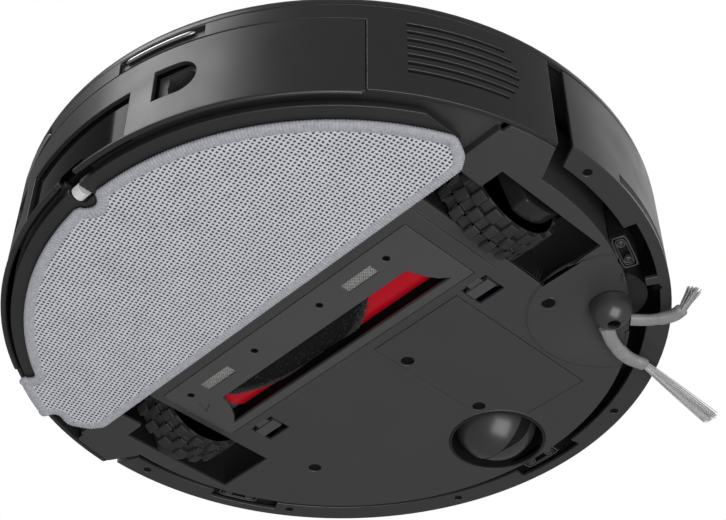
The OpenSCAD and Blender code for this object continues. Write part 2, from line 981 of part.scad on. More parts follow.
// ---- lidar turret and buttons ----

module lidar_base()
    color([0.2, 0.2, 0.2])
        translate([0, turret_y, 0])
            difference() {
                union() {
                    disc(turret_r, 74.6, 81);
                    for (a = [30, 150, 270])
                        rotate([0, 0, a])
                            arc_wall(turret_r - 0.5, turret_r - 4, -9, 9, 80, total_h - 4);
                }
                disc(5 + run, 74, 82);
            }

module lidar_head()
    color([0.12, 0.12, 0.12])
        translate([0, turret_y, 0])
            difference() {
                union() {
                    disc(5, 75, 82);
                    disc(40, 81.6, total_h - 5);
                }
                for (y = [-12, 12])
                    translate([20, y, 87])
                        rotate([0, 90, 0])
                            cylinder(r = 4, h = 30, $fn = 48);
            }

module lidar_cap()
    color([0.2, 0.2, 0.2])
        translate([0, turret_y, 0])
            rotate_extrude()
                polygon([[0, total_h - 4], [turret_r, total_h - 4], [turret_r, total_h - 2], [turret_r - 2, total_h],
                    [0, total_h]]);

module button(x)
    color([0.85, 0.85, 0.85])
        translate([x, button_y, 0]) {
            disc(8.7, deck_z - 2.2, deck_z + 1.2);
            disc(3, deck_z - 5, deck_z - 2);
        }

module power_button() button(button_x[0]);
module dock_button() button(button_x[1]);

base_tray();
wheel_wells();
brush_housing();
side_wall();
top_cover();
charge_contacts();
battery_cover();
battery_pack();
main_board();
blower_housing();
blower_impeller();
brush_motor();
side_brush_motor();
arm_pins();
left_wheel_arm();
right_wheel_arm();
left_wheel_hub();
right_wheel_hub();
left_tyre();
right_tyre();
arm_springs();
caster_socket();
caster_swivel();
caster_wheel();
caster_axle();
side_brush_hub();
side_brush_arms();
side_brush_tufts();
side_brush_screw();
brush_roller();
brush_bristles();
brush_end_caps();
brush_cover();
cover_grilles();
cover_screws();
left_cover_latch();
right_cover_latch();
bumper_shell();
bumper_strip();
bumper_screws();
bumper_springs();
rear_panel();
bin_body();
module_cover();
bin_filter();
port_seals();
sensor_window();
water_plug();
mop_bracket();
mop_pad();
guide_roller();
roller_axle();
cliff_trays();
cliff_lenses();
chassis_screws();
lidar_base();
lidar_head();
lidar_cap();
power_button();
dock_button();
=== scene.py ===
"""A round robot vacuum with a mop pad, seen from below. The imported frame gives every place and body."""
import math
import random

import bmesh
import bpy
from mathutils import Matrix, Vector
from mathutils.geometry import delaunay_2d_cdt


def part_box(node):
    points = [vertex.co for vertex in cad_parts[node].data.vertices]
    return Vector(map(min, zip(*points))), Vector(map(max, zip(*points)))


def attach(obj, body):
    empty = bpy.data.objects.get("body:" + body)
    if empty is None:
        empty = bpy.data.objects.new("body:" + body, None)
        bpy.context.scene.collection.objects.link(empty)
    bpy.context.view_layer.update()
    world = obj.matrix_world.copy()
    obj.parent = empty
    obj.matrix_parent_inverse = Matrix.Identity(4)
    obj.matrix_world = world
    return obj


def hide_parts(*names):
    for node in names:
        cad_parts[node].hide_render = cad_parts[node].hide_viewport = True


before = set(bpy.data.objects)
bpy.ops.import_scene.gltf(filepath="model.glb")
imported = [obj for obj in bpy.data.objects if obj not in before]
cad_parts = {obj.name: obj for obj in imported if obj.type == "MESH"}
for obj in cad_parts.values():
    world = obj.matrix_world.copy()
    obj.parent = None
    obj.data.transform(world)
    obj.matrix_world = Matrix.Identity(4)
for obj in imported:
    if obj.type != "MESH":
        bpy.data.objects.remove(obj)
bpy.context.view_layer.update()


# ---- studio: camera, soft light and floor ----
# The robot hangs in the air with its underside to the camera, in a white room.
# The floor is pale painted board, two metres down, so that nothing hides the underside.

def direction(azimuth, elevation):
    """Unit vector from the object towards a viewer; azimuth 0 is in front of it, on -Y."""
    a, e = math.radians(azimuth), math.radians(elevation)
    return Vector((math.sin(a) * math.cos(e), -math.cos(a) * math.cos(e), math.sin(e)))


scene = bpy.context.scene
camera = bpy.data.objects.new("camera", bpy.data.cameras.new("camera"))
scene.collection.objects.link(camera)
camera.location = (-0.4312, 0.3981, -0.4811)
camera.rotation_mode = "QUATERNION"
camera.rotation_quaternion = (-direction(-134.0, -43.2)).to_track_quat("-Z", "Y")
camera.data.lens = 71.7
camera.data.sensor_width = 36
camera.data.clip_start = 0.02
scene.camera = camera


def softbox(name, place, aim, size, power):
    """A square diffused lamp at place, turned towards aim."""
    lamp = bpy.data.lights.new(name, "AREA")
    lamp.shape = "SQUARE"
    lamp.size = size
    lamp.energy = power
    holder = bpy.data.objects.new(name, lamp)
    scene.collection.objects.link(holder)
    holder.location = place
    holder.rotation_mode = "QUATERNION"
    holder.rotation_quaternion = (Vector(aim) - Vector(place)).to_track_quat("-Z", "Y")


middle = (0, 0, 0.04)
softbox("rear_softbox", (0.25, 1.05, 1.05), middle, 0.8, 7)
softbox("front_softbox", (-0.25, -1.2, 1.0), middle, 1.2, 3)
softbox("under_softbox", (-0.95, 0.35, -1.45), middle, 1.5, 24)
scene.view_settings.view_transform = "Standard"


def srgb(text):
    """Linear RGBA of a hex colour as it is seen."""
    parts = [int(text[i:i + 2], 16) / 255 for i in (1, 3, 5)]
    return (*[c / 12.92 if c <= 0.04045 else ((c + 0.055) / 1.055) ** 2.4 for c in parts], 1.0)


world = bpy.data.worlds.new("white_room")
scene.world = world
world.use_nodes = True
sky = world.node_tree.nodes["Background"]
sky.inputs["Color"].default_value = (0.2, 0.2, 0.204, 1)
seen = world.node_tree.nodes.new("ShaderNodeBackground")
seen.inputs["Color"].default_value = (1, 1, 1, 1)
paths = world.node_tree.nodes.new("ShaderNodeLightPath")
pick = world.node_tree.nodes.new("ShaderNodeMixShader")
join = world.node_tree.links.new
join(paths.outputs["Is Camera Ray"], pick.inputs[0])
join(sky.outputs[0], pick.inputs[1])
join(seen.outputs[0], pick.inputs[2])
join(pick.outputs[0], world.node_tree.nodes["World Output"].inputs["Surface"])


def add_node(material, kind, values=None, links=None):
    """Adds one shader node. values go to its sockets or settings by name, and links join its sockets to others."""
    node = material.node_tree.nodes.new("ShaderNode" + kind)
    for name, value in (values or {}).items():
        if isinstance(name, int) or name in node.inputs:
            node.inputs[name].default_value = value
        else:
            setattr(node, name, value)
    for name, socket in (links or {}).items():
        material.node_tree.links.new(socket, node.inputs[name])
    return node


def new_material(name, **values):
    """An empty surface: its one Principled node, called surface, takes the values given."""
    material = bpy.data.materials.new(name)
    material.use_nodes = True
    surface = material.node_tree.nodes["Principled BSDF"]
    surface.name = "surface"
    for socket, value in values.items():
        surface.inputs[socket.replace("_", " ")].default_value = value
    return material


def link(material, socket, output):
    """Joins an output to a socket of the surface."""
    material.node_tree.links.new(output, material.node_tree.nodes["surface"].inputs[socket])


def two_tone(material, low, high, scale, detail=3):
    """Base colour that drifts between two close colours in patches; scale is patches per metre. Returns the noise."""
    place = add_node(material, "TexCoord").outputs["Object"]
    noise = add_node(material, "TexNoise", {"Scale": scale, "Detail": detail}, {"Vector": place})
    mix = add_node(material, "Mix", {"data_type": "RGBA", 6: srgb(low), 7: srgb(high)}, {0: noise.outputs["Fac"]})
    link(material, "Base Color", mix.outputs[2])
    return noise


painted_board = new_material("painted_board", Roughness=0.8, Emission_Color=srgb("#eceae6"), Emission_Strength=0.62)
two_tone(painted_board, "#eceae6", "#f4f3f0", 1.5)
bpy.ops.mesh.primitive_grid_add(x_subdivisions=8, y_subdivisions=8, size=12, location=(0, 0, -2))
floor = bpy.context.object
floor.name = "pale_floor"
floor.data.materials.append(painted_board)
floor.visible_diffuse = floor.visible_glossy = False   # it is pale to look at, and sends no light back up


# ---- chassis tray ----
# Injection-moulded ABS with a fine spark-eroded grain, dark grey, with every outer edge slightly rounded.
# It carries the brush frame, the dished side-brush corner and the raised floor above the mop.

def grain(material, size, depth, roughness, drift=0.05):
    """Fine surface texture: bumps of one size in metres, and roughness that wanders a little with them."""
    place = add_node(material, "TexCoord").outputs["Object"]
    fine = add_node(material, "TexNoise", {"Scale": 1 / size, "Detail": 2}, {"Vector": place})
    bump = add_node(material, "Bump", {"Strength": 0.6, "Distance": depth}, {"Height": fine.outputs["Fac"]})
    link(material, "Normal", bump.outputs["Normal"])
    broad = add_node(material, "TexNoise", {"Scale": 45, "Detail": 4}, {"Vector": place})
    reach = add_node(material, "MapRange", {"From Min": 0.3, "From Max": 0.7, "To Min": roughness - drift,
                                            "To Max": roughness + drift}, {"Value": broad.outputs["Fac"]})
    link(material, "Roughness", reach.outputs["Result"])


def moulded_abs(name, low, high, roughness=0.42, size=0.0008, depth=0.00003):
    """ABS from an etched mould. The real grain is about 0.2 mm; it is drawn near 0.8 mm so that it shows."""
    material = new_material(name, IOR=1.54)
    two_tone(material, low, high, 30)
    grain(material, size, depth, roughness)
    return material


def dress(node, material):
    """Gives a CAD node its material."""
    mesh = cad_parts[node].data
    mesh.materials.clear()
    mesh.materials.append(material)


def finished(name, mesh, body, material, slot, *nodes, edge=None):
    """Makes the piece from its mesh, shades it, and sets its body and the CAD nodes that it stands for; slot is not
    used.
    """
    piece = bpy.data.objects.new(name, mesh)
    scene.collection.objects.link(piece)
    mesh.materials.clear()
    mesh.materials.append(material)
    if edge:
        mesh.shade_smooth()
        mesh.set_sharp_from_angle(angle=math.radians(edge))
    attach(piece, body)
    if nodes:
        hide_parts(*nodes)
    return piece


def soften(node, width, name, body, material, slot, weld=0.00005, angle=28):
    """The CAD shape with its edges rounded to width, as a mould leaves them."""
    rough = bmesh.new()
    rough.from_mesh(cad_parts[node].data)
    bmesh.ops.remove_doubles(rough, verts=rough.verts, dist=weld)
    bmesh.ops.dissolve_limit(rough, angle_limit=math.radians(0.6), verts=rough.verts, edges=rough.edges)
    mesh = bpy.data.meshes.new(name)
    rough.to_mesh(mesh)
    rough.free()
    blank = bpy.data.objects.new(name + "_blank", mesh)
    scene.collection.objects.link(blank)
    bevel = blank.modifiers.new("edges", "BEVEL")
    bevel.width = width
    bevel.segments = 2
    bevel.limit_method = "ANGLE"
    bevel.angle_limit = math.radians(angle)
    bevel.use_clamp_overlap = False
    mesh.shade_smooth()
    blank.modifiers.new("flats_stay_flat", "WEIGHTED_NORMAL").keep_sharp = True
    rounded = bpy.data.meshes.new_from_object(blank.evaluated_get(bpy.context.evaluated_depsgraph_get()))
    rounded.name = name
    bpy.data.objects.remove(blank)
    return finished(name, rounded, body, material, slot, node)


tray_abs = moulded_abs("spark_eroded_abs", "#3e3e3f", "#434344")
soften("base_tray", 0.0006, "chassis_tray", "body", tray_abs, "chassis_abs")
soften("battery_cover", 0.0004, "battery_lid", "body", tray_abs, "chassis_abs")


tray_edge, well_side, well_front = 0.1533, -0.1035, -0.0437   # the tray's radius, and the two sides of the wheel well


def dish(centre, reach, depth, floor_height, inner):
    """A shallow dish moulded into the tray, whose edge runs out flat; it stops at the tray's round edge and the well."""
    rings, spokes = 44, 240
    points, faces = [], []
    for j in range(spokes):
        a = 2 * math.pi * j / spokes
        ray = Vector((math.cos(a), math.sin(a), 0))
        far = reach
        while (centre + ray * far).length > tray_edge or (far > 0.03 and (centre + ray * far).x < well_side
                                                          and (centre + ray * far).y > well_front):
            far -= 0.0002
        for i in range(rings + 1):
            r = inner + (far - inner) * i / rings
            rise = depth * (1 - (r / reach) ** 2) ** 2
            point = centre + ray * r
            points.append((point.x, point.y, floor_height + rise))
    for j in range(spokes):
        k = (j + 1) % spokes
        for i in range(rings):
            a, b = j * (rings + 1) + i, k * (rings + 1) + i
            faces.append((a, b, b + 1, a + 1))
    mesh = bpy.data.meshes.new("dished_corner")
    mesh.from_pydata(points, [], faces)
    return mesh


brush_axis = Vector((-0.116, -0.085, 0))
screw_spot = Vector((-0.0974, -0.0565, 0))
dish_reach, dish_depth, dish_floor = 0.0448, 0.0068, 0.00948
corner = dish(brush_axis, dish_reach, dish_depth, dish_floor, 0.0064)


def thicken(mesh, thickness, hole=None, hole_radius=0.0):
    """Turns an open skin into a closed one, first leaving out the faces near hole."""
    skin = bmesh.new()
    skin.from_mesh(mesh)
    if hole:
        cut = [f for f in skin.faces if (f.calc_center_median().xy - hole.xy).length < hole_radius]
        bmesh.ops.delete(skin, geom=cut, context="FACES")
    bmesh.ops.recalc_face_normals(skin, faces=skin.faces)
    bmesh.ops.solidify(skin, geom=skin.faces, thickness=thickness)
    bmesh.ops.recalc_face_normals(skin, faces=skin.faces)
    skin.to_mesh(mesh)
    skin.free()


thicken(corner, 0.0002, screw_spot, 0.0039)
finished("dished_corner", corner, "body", tray_abs, "chassis_abs", edge=40)


def lathe(name, profile, centre, axis=(0, 0, 1), sides=48):
    """A turned shape: profile is (radius, height along the axis) pairs, from one end to the other."""
    turn = Vector((0, 0, 1)).rotation_difference(Vector(axis))
    points, faces = [], []
    for r, h in profile:
        for j in range(sides):
            a = 2 * math.pi * j / sides
            points.append(Vector(centre) + turn @ Vector((r * math.cos(a), r * math.sin(a), h)))
    for i in range(len(profile) - 1):
        for j in range(sides):
            k = (j + 1) % sides
            faces.append((i * sides + j, i * sides + k, (i + 1) * sides + k, (i + 1) * sides + j))
    mesh = bpy.data.meshes.new(name)
    mesh.from_pydata(points, [], faces)
    return mesh


dip = dish_floor + dish_depth * (1 - ((screw_spot - brush_axis).length / dish_reach) ** 2) ** 2
screw_well = lathe("screw_well", [(0.0036, dip + 0.001), (0.0036, dip - 0.0002), (0.0042, dip - 0.0004),
                                  (0.0046, dip - 0.0001), (0.0046, dip + 0.001), (0.0036, dip + 0.001)], screw_spot)
finished("screw_well", screw_well, "body", tray_abs, "chassis_abs", edge=50)


# ---- wells, brush chamber and drives inside the tray ----
# Unpainted black ABS, left matt because nobody sees it; dust has greyed it a little.
# The pack is a shrink-wrapped block, the board is green solder mask over copper.

inner_abs = moulded_abs("matt_black_abs", "#151516", "#1b1b1c", 0.5)
motor_abs = moulded_abs("glass_filled_nylon", "#1c1c1d", "#232324", 0.55)
for node in ("wheel_wells", "brush_housing", "caster_socket", "cliff_trays", "module_cover"):
    dress(node, inner_abs)
for node in ("blower_housing", "brush_motor", "side_brush_motor", "lidar_head"):
    dress(node, motor_abs)
fan_abs = moulded_abs("fan_abs", "#8e8e92", "#98989b", 0.4)
dress("blower_impeller", fan_abs)

shrink_wrap = new_material("pvc_shrink_wrap", IOR=1.53)
two_tone(shrink_wrap, "#24406e", "#2b4a7d", 60)
grain(shrink_wrap, 0.004, 0.0001, 0.3)
dress("battery_pack", shrink_wrap)

solder_mask = new_material("solder_mask", IOR=1.5)
two_tone(solder_mask, "#12472a", "#1d6a40", 900, 1)
grain(solder_mask, 0.002, 0.0001, 0.3)
dress("main_board", solder_mask)

filter_paper = new_material("pleated_filter_paper", IOR=1.47)
two_tone(filter_paper, "#e4e2d8", "#f1efe7", 300)
grain(filter_paper, 0.0006, 0.0001, 0.85)
dress("bin_filter", filter_paper)


def drawn_steel(name, low, high, roughness):
    """Steel wire or turned steel: metallic, with fine marks that soften its highlights."""
    material = new_material(name, Metallic=1.0)
    two_tone(material, low, high, 400)
    grain(material, 0.0005, 0.00001, roughness)
    return material


bright_steel = drawn_steel("bright_drawn_steel", "#b9b9bb", "#cfcfd1", 0.25)
black_steel = drawn_steel("blackened_steel", "#26262a", "#343438", 0.35)
for node in ("arm_pins", "arm_springs", "caster_axle", "bumper_springs", "roller_axle"):
    dress(node, bright_steel)
for node in ("chassis_screws", "cover_screws", "bumper_screws", "side_brush_screw"):
    dress(node, black_steel)


# ---- rear side wall and top deck ----
# The same ABS with a satin, finer texture: it takes long soft highlights from the room.
# The wall is one moulding with seven exhaust slots; the deck snaps on with a rounded rim.

wall_abs = moulded_abs("satin_abs", "#2c2c2d", "#303031", 0.34, 0.0006, 0.00001)
soften("side_wall", 0.0005, "rear_wall", "body", wall_abs, "wall_abs")
deck_abs = moulded_abs("deck_abs", "#2e2e2f", "#323233", 0.3, 0.0006, 0.00001)
soften("top_cover", 0.0004, "top_deck", "body", deck_abs, "deck_abs")


# ---- rear module: dust bin and tank with its panel ----
# One satin panel that slides out to the rear, with a black infrared window and two D-shaped dust ports.
# The window is black acrylic, glossy; the ports are lined with a soft moulded seal, and a bead runs along
# the panel's lower edge. Two plated charging contacts sit in grooves above it.

soften("rear_panel", 0.0005, "module_panel", "module", wall_abs, "wall_abs")

window_acrylic = new_material("infrared_black_acrylic", IOR=1.49, Specular_IOR_Level=0.08)
two_tone(window_acrylic, "#070708", "#0b0b0d", 50)
grain(window_acrylic, 0.02, 0.00001, 0.07, 0.02)
dress("sensor_window", window_acrylic)
dress("bin_body", inner_abs)


def sweep(name, path, outline, up=(0, 0, 1), closed=False):
    """A skin drawn along path. outline(i) gives the section at point i as (sideways, upwards) pairs, in metres."""
    path = [Vector(p) for p in path]
    count = len(path)
    points, faces = [], []
    for i, place in enumerate(path):
        ahead = path[(i + 1) % count] if closed or i + 1 < count else place
        behind = path[i - 1] if closed or i else place
        along = (ahead - behind).normalized()
        across = Vector(up).cross(along).normalized()
        rise = along.cross(across)
        points += [place + across * u + rise * v for u, v in outline(i)]
    around = len(points) // count
    for i in range(count if closed else count - 1):
        for j in range(around):
            k, n = (j + 1) % around, (i + 1) % count
            faces.append((i * around + j, i * around + k, n * around + k, n * around + j))
    if not closed:
        faces += [tuple(range(around))[::-1], tuple((count - 1) * around + j for j in range(around))]
    mesh = bpy.data.meshes.new(name)
    mesh.from_pydata(points, [], faces)
    return mesh


def oval(width, height, sides=16, power=1.0):
    """Section of that width and height; a power below one squares its corners."""
    turns = [2 * math.pi * j / sides for j in range(sides)]
    return [(math.copysign(abs(math.cos(t)) ** power, math.cos(t)) * width / 2,
             math.copysign(abs(math.sin(t)) ** power, math.sin(t)) * height / 2) for t in turns]


def joined(name, meshes):
    """One mesh from several."""
    whole = bmesh.new()
    for mesh in meshes:
        whole.from_mesh(mesh)
        bpy.data.meshes.remove(mesh)
    bmesh.ops.recalc_face_normals(whole, faces=whole.faces)
    mesh = bpy.data.meshes.new(name)
    whole.to_mesh(mesh)
    whole.free()
    return mesh


def round_body(radius, start, end, height, step=1.0):
    """Points round the robot's axis between two angles in degrees, at one height."""
    count = max(2, round(abs(end - start) / step))
    angles = [math.radians(start + (end - start) * i / count) for i in range(count + 1)]
    return [Vector((radius * math.cos(a), radius * math.sin(a), height)) for a in angles]


def pill(width, height, last, power=1.0):
    """Sections of a bar whose two ends are rounded off over a few steps."""
    def outline(i):
        near = min(i, last - i) / 2.5
        tip = math.sqrt(max(0.02, 1 - max(0.0, 1 - near) ** 2))
        return oval(width * tip, height * tip, 16, power)
    return outline


bead = [sweep("bead", round_body(0.1737, start, end, 0.0086), lambda i: oval(0.0031, 0.0030, 14))
        for start, end in ((39.8, 86.8), (93.2, 140.2))]
finished("panel_bead", joined("panel_bead", bead), "module", wall_abs, "wall_abs", edge=50)

seal_rubber = new_material("port_seal_elastomer", IOR=1.5)
two_tone(seal_rubber, "#4a4a4c", "#545456", 120)
grain(seal_rubber, 0.0007, 0.00003, 0.5)
dress("port_seals", seal_rubber)
dress("water_plug", seal_rubber)

contact_nickel = drawn_steel("plated_contact", "#b9b9ba", "#d6d6d7", 0.3)
rods = []
for side in (-1, 1):
    path = round_body(0.1741, 90 + side * 17 - 6.6, 90 + side * 17 + 6.6, 0.0671, 0.5)
    rods.append(sweep("rod", path, pill(0.0022, 0.0025, len(path) - 1)))
finished("contact_rods", joined("contact_rods", rods), "body", contact_nickel, "contact_nickel", "charge_contacts",
         edge=50)


# ---- bumper ----
# A long curved ABS skirt with a turned-in lower lip, a soft strip in its groove and two coil springs behind.
# It is a shade lighter than the wall, and its lip is screwed to the slides.

bumper_abs = moulded_abs("bumper_abs", "#373738", "#3c3c3d", 0.34, 0.0006, 0.00001)
soften("bumper_shell", 0.0006, "bumper_skirt", "bumper", bumper_abs, "bumper_abs")
strip_rubber = new_material("soft_strip", IOR=1.5)
two_tone(strip_rubber, "#161617", "#1c1c1d", 120)
grain(strip_rubber, 0.0008, 0.00003, 0.6)
dress("bumper_strip", strip_rubber)


# ---- drive wheels ----
# Rubber tyres with three staggered rows of blocks, pressed on to moulded hubs.
# Each hub is on a swinging gearbox arm, a thick glossy ABS moulding with no sharp corner.

tread_rubber = new_material("tread_rubber", IOR=1.52)
two_tone(tread_rubber, "#242424", "#2e2e2e", 250)
grain(tread_rubber, 0.0007, 0.00005, 0.62)
arm_abs = moulded_abs("gearbox_abs", "#222223", "#272728", 0.22, 0.0006, 0.00001)
hub_abs = moulded_abs("hub_abs", "#303031", "#363637", 0.3)


def melt(node, voxel, rounds, name, body, material, slot):
    """The CAD shape with all its corners run together, as a thick moulding has them."""
    blank = bpy.data.objects.new(name + "_blank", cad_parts[node].data.copy())
    scene.collection.objects.link(blank)
    weld = blank.modifiers.new("weld", "WELD")
    weld.merge_threshold = 0.00001
    remesh = blank.modifiers.new("even_mesh", "REMESH")
    remesh.mode = "VOXEL"
    remesh.voxel_size = voxel
    ease = blank.modifiers.new("ease", "SMOOTH")
    ease.factor = 0.5
    ease.iterations = rounds
    mesh = bpy.data.meshes.new_from_object(blank.evaluated_get(bpy.context.evaluated_depsgraph_get()))
    mesh.name = name
    bpy.data.objects.remove(blank)
    return finished(name, mesh, body, material, slot, node, edge=80)


for side in ("left", "right"):
    soften(f"{side}_tyre", 0.0007, f"{side}_tread", f"{side}_wheel", tread_rubber, "tyre_rubber")
    melt(f"{side}_wheel_arm", 0.0007, 10, f"{side}_gearbox", f"{side}_arm", arm_abs, "arm_abs")
    dress(f"{side}_wheel_hub", hub_abs)


# ---- ball caster ----
# A polished ABS ball in two parts, a fixed half and a rolling half, either side of a steel pin.
# The fixed half has the stem by which the whole ball turns in its socket.

polished_abs = new_material("polished_ball_abs", IOR=1.54, Coat_Weight=0.25, Coat_Roughness=0.2)
two_tone(polished_abs, "#363637", "#3b3b3c", 60)
grain(polished_abs, 0.004, 0.00001, 0.32, 0.03)


caster_centre = Vector((0, -0.125, 0.024))
axle = Vector((math.cos(math.radians(85)), math.sin(math.radians(85)), 0))
sideways = Vector((-axle.y, axle.x, 0))


def half_ball(name, radius, centre, face, rolling):
    """Half of the ball: face(y) says how far along the axle its inner face stands, y being across the axle."""
    points, faces = [], []
    rings, sides = 48, 96
    sign = 1 if rolling else -1
    for i in range(rings + 1):
        a = math.pi * i / rings
        for j in range(sides):
            b = 2 * math.pi * j / sides
            x, y, z = math.cos(a) * radius, math.sin(a) * math.cos(b) * radius, math.sin(a) * math.sin(b) * radius
            x = sign * max(sign * x, sign * face(y))
            points.append(centre + axle * x + sideways * y + Vector((0, 0, z)))
    for i in range(rings):
        for j in range(sides):
            k = (j + 1) % sides
            faces.append((i * sides + j, i * sides + k, (i + 1) * sides + k, (i + 1) * sides + j))
    mesh = bpy.data.meshes.new(name)
    mesh.from_pydata(points, [], faces)
    ball = bmesh.new()
    ball.from_mesh(mesh)
    bmesh.ops.remove_doubles(ball, verts=ball.verts, dist=0.00002)
    bmesh.ops.recalc_face_normals(ball, faces=ball.faces)
    ball.to_mesh(mesh)
    ball.free()
    return mesh


def parting(y):
    """The fixed half's curved edge: it draws back from the rolling half on one side and meets it on the other."""
    t = max(-1.0, min(1.0, y / 0.0235))
    return -0.0003 - 0.0032 * (1 - math.cos(math.pi * min(1.0, abs(t) * 1.25))) * (1.0 if t > 0 else 0.35)


stem = lathe("stem", [(0.0, 0.0655), (0.004, 0.0655), (0.004, 0.0534), (0.0196, 0.0534), (0.020, 0.053), (0.020, 0.0502),
                      (0.0, 0.0502)], (0, -0.125, 0))
fixed = half_ball("fixed", 0.0237, caster_centre + Vector((0, 0, 0.0008)), parting, False)
finished("caster_fixed_half", joined("caster_fixed_half", [fixed, stem]), "caster_turntable", polished_abs,
         "caster_gloss", "caster_swivel", edge=40)
rolling = half_ball("caster_rolling_half", 0.0239, caster_centre + Vector((0, 0, 0.0001)), lambda y: 0.0008, True)
finished("caster_rolling_half", rolling, "caster_roller", polished_abs, "caster_gloss", "caster_wheel", edge=40)


# ---- side brush ----
# A smoky glossy hub, two soft grey elastomer arms and two tufts of nylon bristles.
# Each tuft's root is held in its arm's thicker sleeve, and a screw in the hub holds the brush on.

smoky_hub = new_material("smoky_moulding", IOR=1.54, Coat_Weight=0.3, Coat_Roughness=0.16)
two_tone(smoky_hub, "#3a3a3b", "#444445", 80)
grain(smoky_hub, 0.004, 0.00001, 0.3, 0.03)
dress("side_brush_hub", smoky_hub)
arm_rubber = new_material("grey_elastomer", IOR=1.45, Subsurface_Weight=0.15, Subsurface_Scale=0.002)
two_tone(arm_rubber, "#858586", "#a2a2a3", 180)
grain(arm_rubber, 0.0012, 0.0001, 0.42)
nylon_tuft = new_material("nylon_bristle", IOR=1.53)
two_tone(nylon_tuft, "#a9a9ab", "#dededf", 900)
grain(nylon_tuft, 0.0005, 0.00003, 0.4)


def smooth_path(points, steps=10):
    """Points along a curve that passes through those given (Catmull-Rom)."""
    points = [Vector(p) for p in points]
    padded = [2 * points[0] - points[1], *points, 2 * points[-1] - points[-2]]
    path = []
    for a, b, c, d in zip(padded, padded[1:], padded[2:], padded[3:]):
        for i in range(steps):
            t = i / steps
            path.append(0.5 * (2 * b + (c - a) * t + (2 * a - 5 * b + 4 * c - d) * t * t
                               + (3 * b - a - 3 * c + d) * t ** 3))
    return [*path, points[-1]]


def arm(points, widths):
    """A flat moulded arm with a thicker sleeve half way along, where the tuft's root is held."""
    path = smooth_path(points)
    last = len(path) - 1

    def outline(i):
        t = i / last
        width = widths[0] + (widths[1] - widths[0]) * t
        sleeve = 0.0007 if 0.45 < t < 0.97 else 0
        tip = math.sqrt(max(0.05, 1 - max(0, (t - 0.93) / 0.07) ** 2))
        return oval((width + sleeve) * tip, (0.0042 + sleeve) * tip, 16, 0.7)
    return sweep("arm", path, outline)


def strands(points, root, end, count, seed):
    """Separate nylon bristles from one root, fanned out to the width end."""
    draw = random.Random(seed)
    path = smooth_path(points, 4)
    last = len(path) - 1
    along = (path[-1] - path[0]).normalized()
    across = along.cross(Vector((0, 0, 1))).normalized()
    hairs = []
    for _ in range(count):
        u, v = draw.triangular(-1, 1, 0), draw.uniform(-1, 1)
        length = draw.uniform(0.93, 1.0)
        drift = draw.uniform(-0.12, 0.12)
        hair = []
        for i in range(int(last * length) + 1):
            t = i / last
            wide = root + (end - root) * t
            hair.append(path[i] + across * wide * (u + drift * math.sin(3 * t)) / 2
                        + Vector((0, 0, v * (0.0011 + 0.0012 * t))))
        hairs.append(sweep("hair", hair, lambda i: oval(0.00042, 0.00042, 5)))
    return hairs


short_arm = [(-0.1210, -0.0930, 0.0066), (-0.1290, -0.1005, 0.0061), (-0.1385, -0.1050, 0.0056),
             (-0.1465, -0.1040, 0.0052)]
long_arm = [(-0.1085, -0.0890, 0.0066), (-0.1035, -0.1010, 0.0062), (-0.1015, -0.1150, 0.0057),
            (-0.1050, -0.1275, 0.0050)]
finished("sweeping_arms", joined("sweeping_arms", [arm(short_arm, (0.0072, 0.0066)), arm(long_arm, (0.0078, 0.0066))]),
         "side_brush", arm_rubber, "arm_rubber", "side_brush_arms", edge=50)
short_tuft = [(-0.1455, -0.1045, 0.0052), (-0.1510, -0.1010, 0.0049), (-0.1565, -0.0975, 0.0042),
              (-0.1605, -0.0945, 0.0036)]
long_tuft = [(-0.1045, -0.1262, 0.0050), (-0.1035, -0.1450, 0.0049), (-0.1022, -0.1700, 0.0045),
             (-0.1011, -0.1940, 0.0040)]
finished("bristle_tufts", joined("bristle_tufts", strands(short_tuft, 0.0042, 0.0080, 70, 5)
                                 + strands(long_tuft, 0.0042, 0.0110, 90, 6)),
         "side_brush", nylon_tuft, "tuft_nylon", "side_brush_tufts", edge=80)


# ---- main brush ----
# A smooth red elastomer roller on two bearings, with a field of black bristles set into it.
# The field's edge is a V that opens towards both ends, and its outermost bristles stand proud.

red_elastomer = new_material("red_elastomer", IOR=1.5, Specular_IOR_Level=0.3)
two_tone(red_elastomer, "#b4081c", "#c60c22", 60)
grain(red_elastomer, 0.002, 0.00003, 0.32)
roller_axis = Vector((0, 0.008, 0.026))
roller_r = 0.0152
roller_side = [(0.0, -0.086), (0.003, -0.086), (0.003, -0.0684), (0.0145, -0.0684), (roller_r, -0.0676),
               (roller_r + 0.0002, 0.006), (roller_r, 0.0796), (0.0145, 0.0804), (0.003, 0.0804), (0.003, 0.090),
               (0.0, 0.090)]
roller_skin = lathe("roller_skin", roller_side, roller_axis, (1, 0, 0), 96)
finished("roller_skin", roller_skin, "main_brush", red_elastomer, "roller_rubber", "brush_roller", edge=40)

bristle_black = new_material("black_bristle", IOR=1.53, Specular_IOR_Level=0.3)
two_tone(bristle_black, "#060606", "#6a6a6a", 2200)
grain(bristle_black, 0.0005, 0.0001, 0.7)
draw = random.Random(4)


def round_roller(x, turn, radius):
    """A point on the roller: turn is in degrees from straight down, towards the rear."""
    a = math.radians(turn)
    return Vector((x, roller_axis.y + radius * math.sin(a), roller_axis.z - radius * math.cos(a)))


def band_start(x):
    """The turn at which the bristle field begins at x: its edge is a V that opens towards both ends."""
    return 22.6 - (0.078 - x) * 1950 if x > 0.014 else 22.6 - (x + 0.038) * 2400


